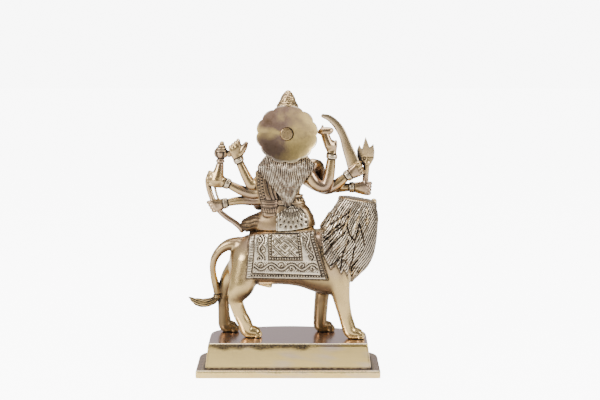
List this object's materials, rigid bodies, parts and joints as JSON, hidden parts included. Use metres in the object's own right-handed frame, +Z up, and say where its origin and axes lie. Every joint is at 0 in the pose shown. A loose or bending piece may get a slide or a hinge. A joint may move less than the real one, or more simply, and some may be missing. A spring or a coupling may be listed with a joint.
{
  "type": "durga figure",
  "caption": "Brass figure of a many-armed goddess riding her lion, with a petalled halo on a pin behind her head, on a stepped plinth with a bowed front",
  "frame": {"origin": "middle of the plinth's flat underside", "axes": "+X is the way the lion walks, +Y is the way the goddess and the lion's face look, +Z is up"},
  "size_m": [0.1385, 0.068, 0.2],
  "materials": {
    "plinth_brass": "buffed smooth, dull at the edges",
    "lion_brass": "buffed, with dark patina in the cuts",
    "durga_brass": "buffed, with dark patina in the cuts",
    "halo_brass": "buffed in circles"
  },
  "bodies": {
    "root": {"plinth": "plinth_brass", "lion": "lion_brass", "durga": "durga_brass", "halo": "halo_brass"}
  },
  "joints": []
}
